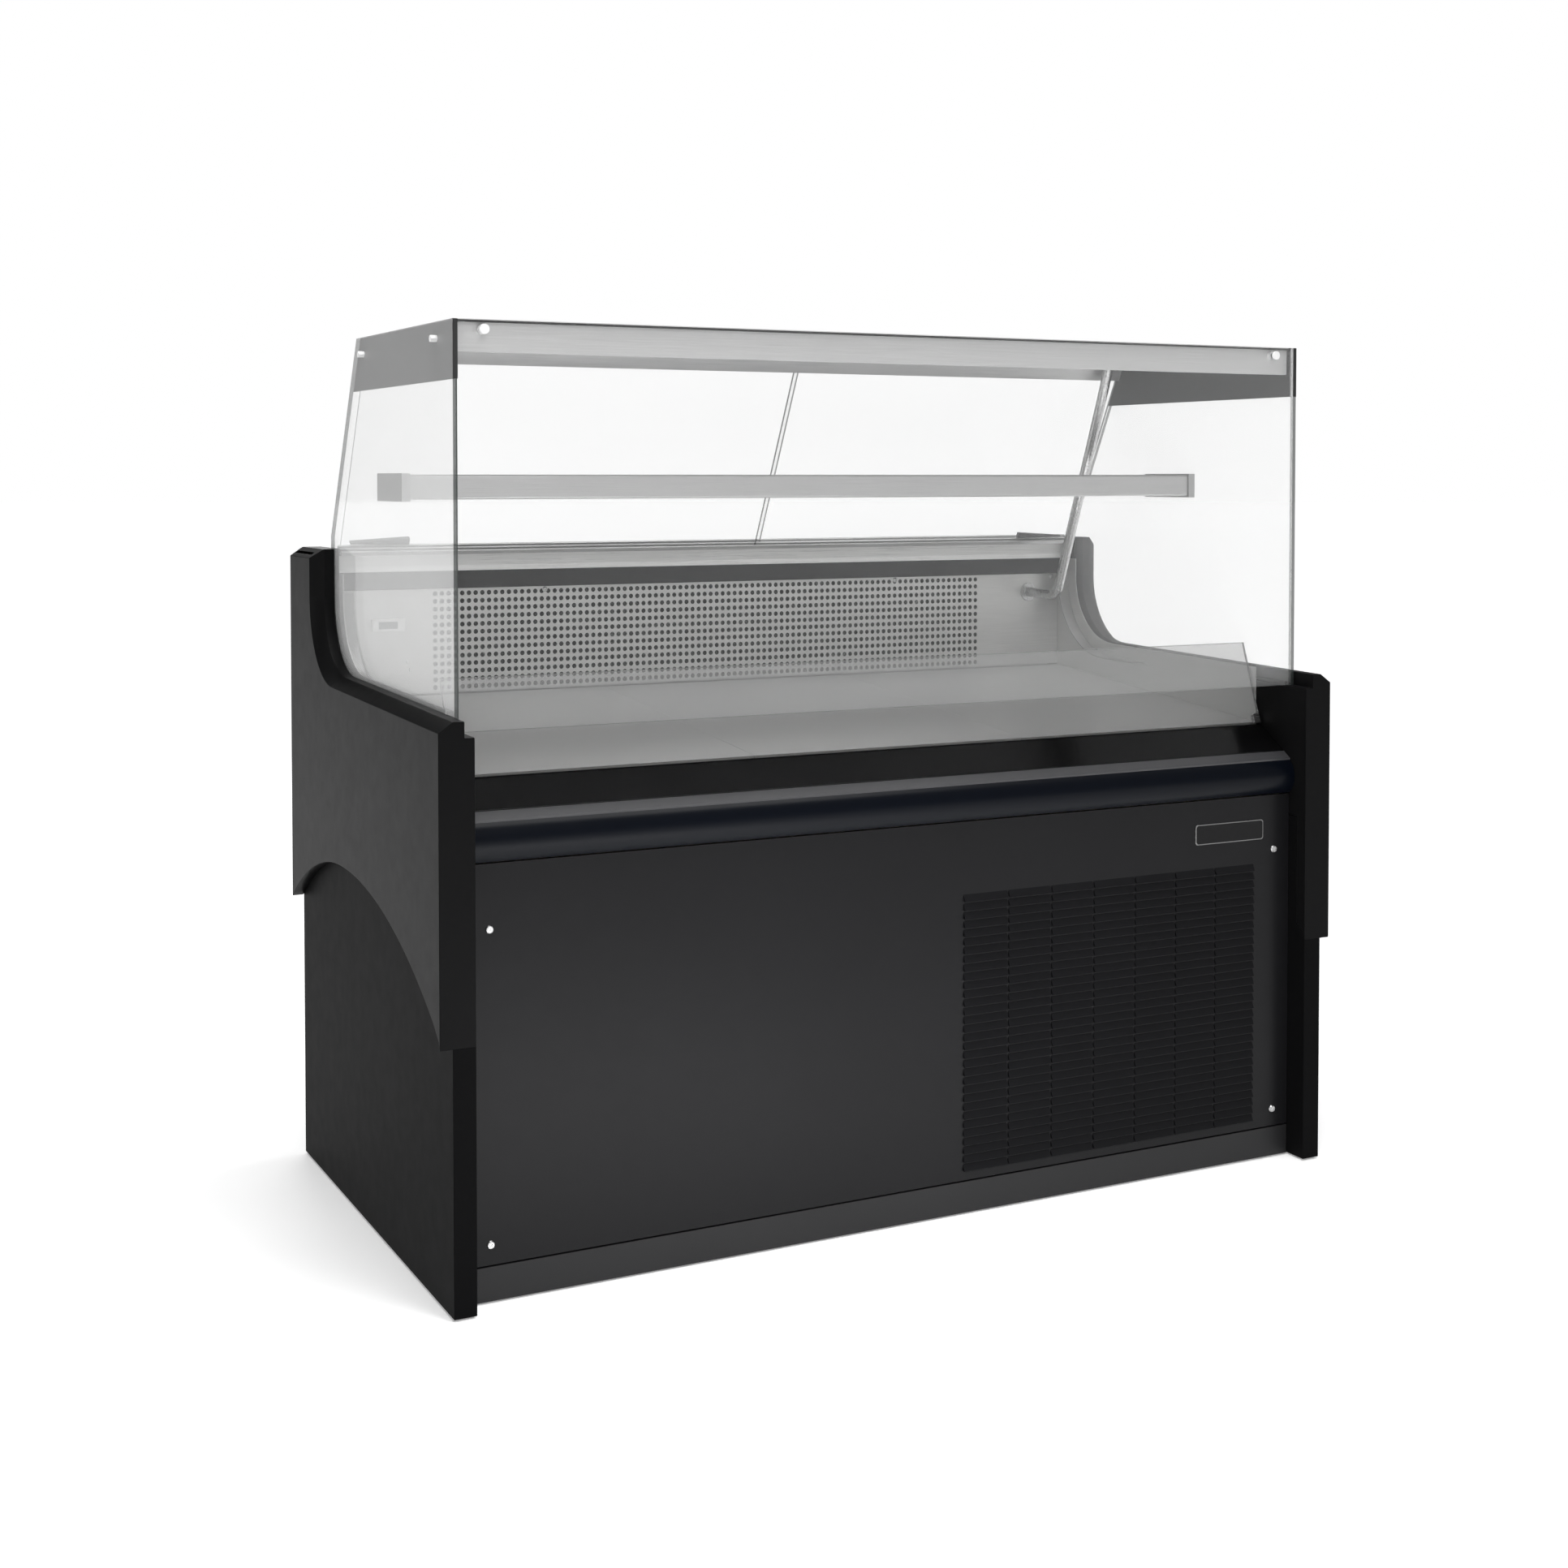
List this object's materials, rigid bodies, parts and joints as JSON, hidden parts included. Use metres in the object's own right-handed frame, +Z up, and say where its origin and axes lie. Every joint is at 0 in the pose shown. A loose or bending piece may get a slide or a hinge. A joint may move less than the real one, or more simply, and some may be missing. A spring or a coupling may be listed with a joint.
{
  "type": "refrigerated deli case",
  "caption": "Serve-over refrigerated counter with an upright glass canopy, louvred front, steel display deck and sliding glass doors on the service side.",
  "frame": {"origin": "centre of the footprint on the floor", "axes": "+X towards the customer's right along the length, +Y from the customer's front to the service side, +Z up"},
  "size_m": [1.5, 0.78, 1.32],
  "materials": {
    "aluminium": "mill finish",
    "apron_black": "gloss",
    "black_plastic": "moulded",
    "bumper": "satin extrusion",
    "chrome": "polished",
    "clear": "clear toughened",
    "compressor_black": "gloss enamel",
    "copper": "drawn copper tube",
    "diffuser": "opal",
    "end_print": "satin",
    "gloss_black": "gloss moulded",
    "insulation": "rigid foam",
    "light_alu": "satin anodised",
    "liner": "brushed stainless",
    "nose_grey": "satin",
    "panel_black": "satin powder coat",
    "perforated": "satin stainless",
    "plinth": "satin powder coat",
    "roof": "satin",
    "screw": "satin",
    "stainless": "brushed",
    "tube": "satin tube",
    "wall_black": "semi-gloss moulded",
    "white_plastic": "gloss moulded",
    "zinc": "zinc plated"
  },
  "bodies": {
    "case": {"badge_plate": "chrome", "base_frame": "zinc", "bumper_carrier": "panel_black", "bumper_rail": "bumper", "cable_tube": "tube", "compressor": "compressor_black", "condenser_coil": "aluminium", "condenser_motor": "black_plastic", "condenser_shroud": "zinc", "controller": "gloss_black", "deck_pan_1": "stainless", "deck_pan_2": "stainless", "deck_pan_3": "stainless", "door_tracks": "light_alu", "end_plates": "end_print", "evaporator_coil": "aluminium", "fan_motors": "black_plastic", "fan_shroud": "stainless", "front_apron": "apron_black", "front_glass": "clear", "front_panel": "panel_black", "glass_fixings": "chrome", "kickplate": "plinth", "levelling_feet": "black_plastic", "light_bar": "light_alu", "light_bar_brackets": "light_alu", "light_diffuser": "diffuser", "liner_sides": "liner", "low_glass": "clear", "mains_gland": "black_plastic", "panel_screws": "screw", "rear_air_panel": "perforated", "rear_panels": "panel_black", "refrigerant_pipes": "copper", "roof_tray": "roof", "side_base_left": "wall_black", "side_base_right": "wall_black", "side_glass_left": "clear", "side_glass_right": "clear", "side_wall_left": "wall_black", "side_wall_right": "wall_black", "switch_housings": "black_plastic", "tank_insulation": "insulation", "tank_liner": "liner", "thermometer": "white_plastic", "unit_tray": "zinc", "worktop": "stainless", "worktop_nose": "nose_grey"},
    "rear_door_left": {"rear_pane_left": "clear", "pane_grip_left": "black_plastic"},
    "rear_door_right": {"rear_pane_right": "clear", "pane_grip_right": "black_plastic"},
    "evaporator_rotor_1": {"fan_rotor_1": "black_plastic"},
    "evaporator_rotor_2": {"fan_rotor_2": "black_plastic"},
    "condenser_rotor": {"condenser_fan_rotor": "aluminium"},
    "button_1": {"controller_button_1": "black_plastic"},
    "button_2": {"controller_button_2": "black_plastic"},
    "button_3": {"controller_button_3": "black_plastic"},
    "rocker_switch_1": {"rocker_1": "gloss_black"},
    "rocker_switch_2": {"rocker_2": "gloss_black"}
  },
  "joints": [
    {"name": "left_door_slide", "type": "slide", "parent": "case", "child": "rear_door_left", "axis": [1, 0, 0], "range_m": [0, 0.64]},
    {"name": "right_door_slide", "type": "slide", "parent": "case", "child": "rear_door_right", "axis": [1, 0, 0], "range_m": [-0.72, 0]},
    {"name": "evaporator_fan_1_spin", "type": "hinge", "parent": "case", "child": "evaporator_rotor_1", "pos_m": [-0.3, 0.21, 0.65], "axis": [0, 1, 0], "continuous": true},
    {"name": "evaporator_fan_2_spin", "type": "hinge", "parent": "case", "child": "evaporator_rotor_2", "pos_m": [0.3, 0.21, 0.65], "axis": [0, 1, 0], "continuous": true},
    {"name": "condenser_fan_spin", "type": "hinge", "parent": "case", "child": "condenser_rotor", "pos_m": [0.35, -0.158, 0.232], "axis": [0, 1, 0], "continuous": true},
    {"name": "button_1_press", "type": "slide", "parent": "case", "child": "button_1", "axis": [0, -1, 0], "range_m": [0, 0.0008], "stiffness_N_per_m": 400},
    {"name": "button_2_press", "type": "slide", "parent": "case", "child": "button_2", "axis": [0, -1, 0], "range_m": [0, 0.0008], "stiffness_N_per_m": 400},
    {"name": "button_3_press", "type": "slide", "parent": "case", "child": "button_3", "axis": [0, -1, 0], "range_m": [0, 0.0008], "stiffness_N_per_m": 400},
    {"name": "rocker_1_tilt", "type": "hinge", "parent": "case", "child": "rocker_switch_1", "pos_m": [-0.42, 0.381, 0.462], "axis": [1, 0, 0], "range_deg": [-16, 0]},
    {"name": "rocker_2_tilt", "type": "hinge", "parent": "case", "child": "rocker_switch_2", "pos_m": [-0.385, 0.381, 0.462], "axis": [1, 0, 0], "range_deg": [-16, 0]}
  ]
}
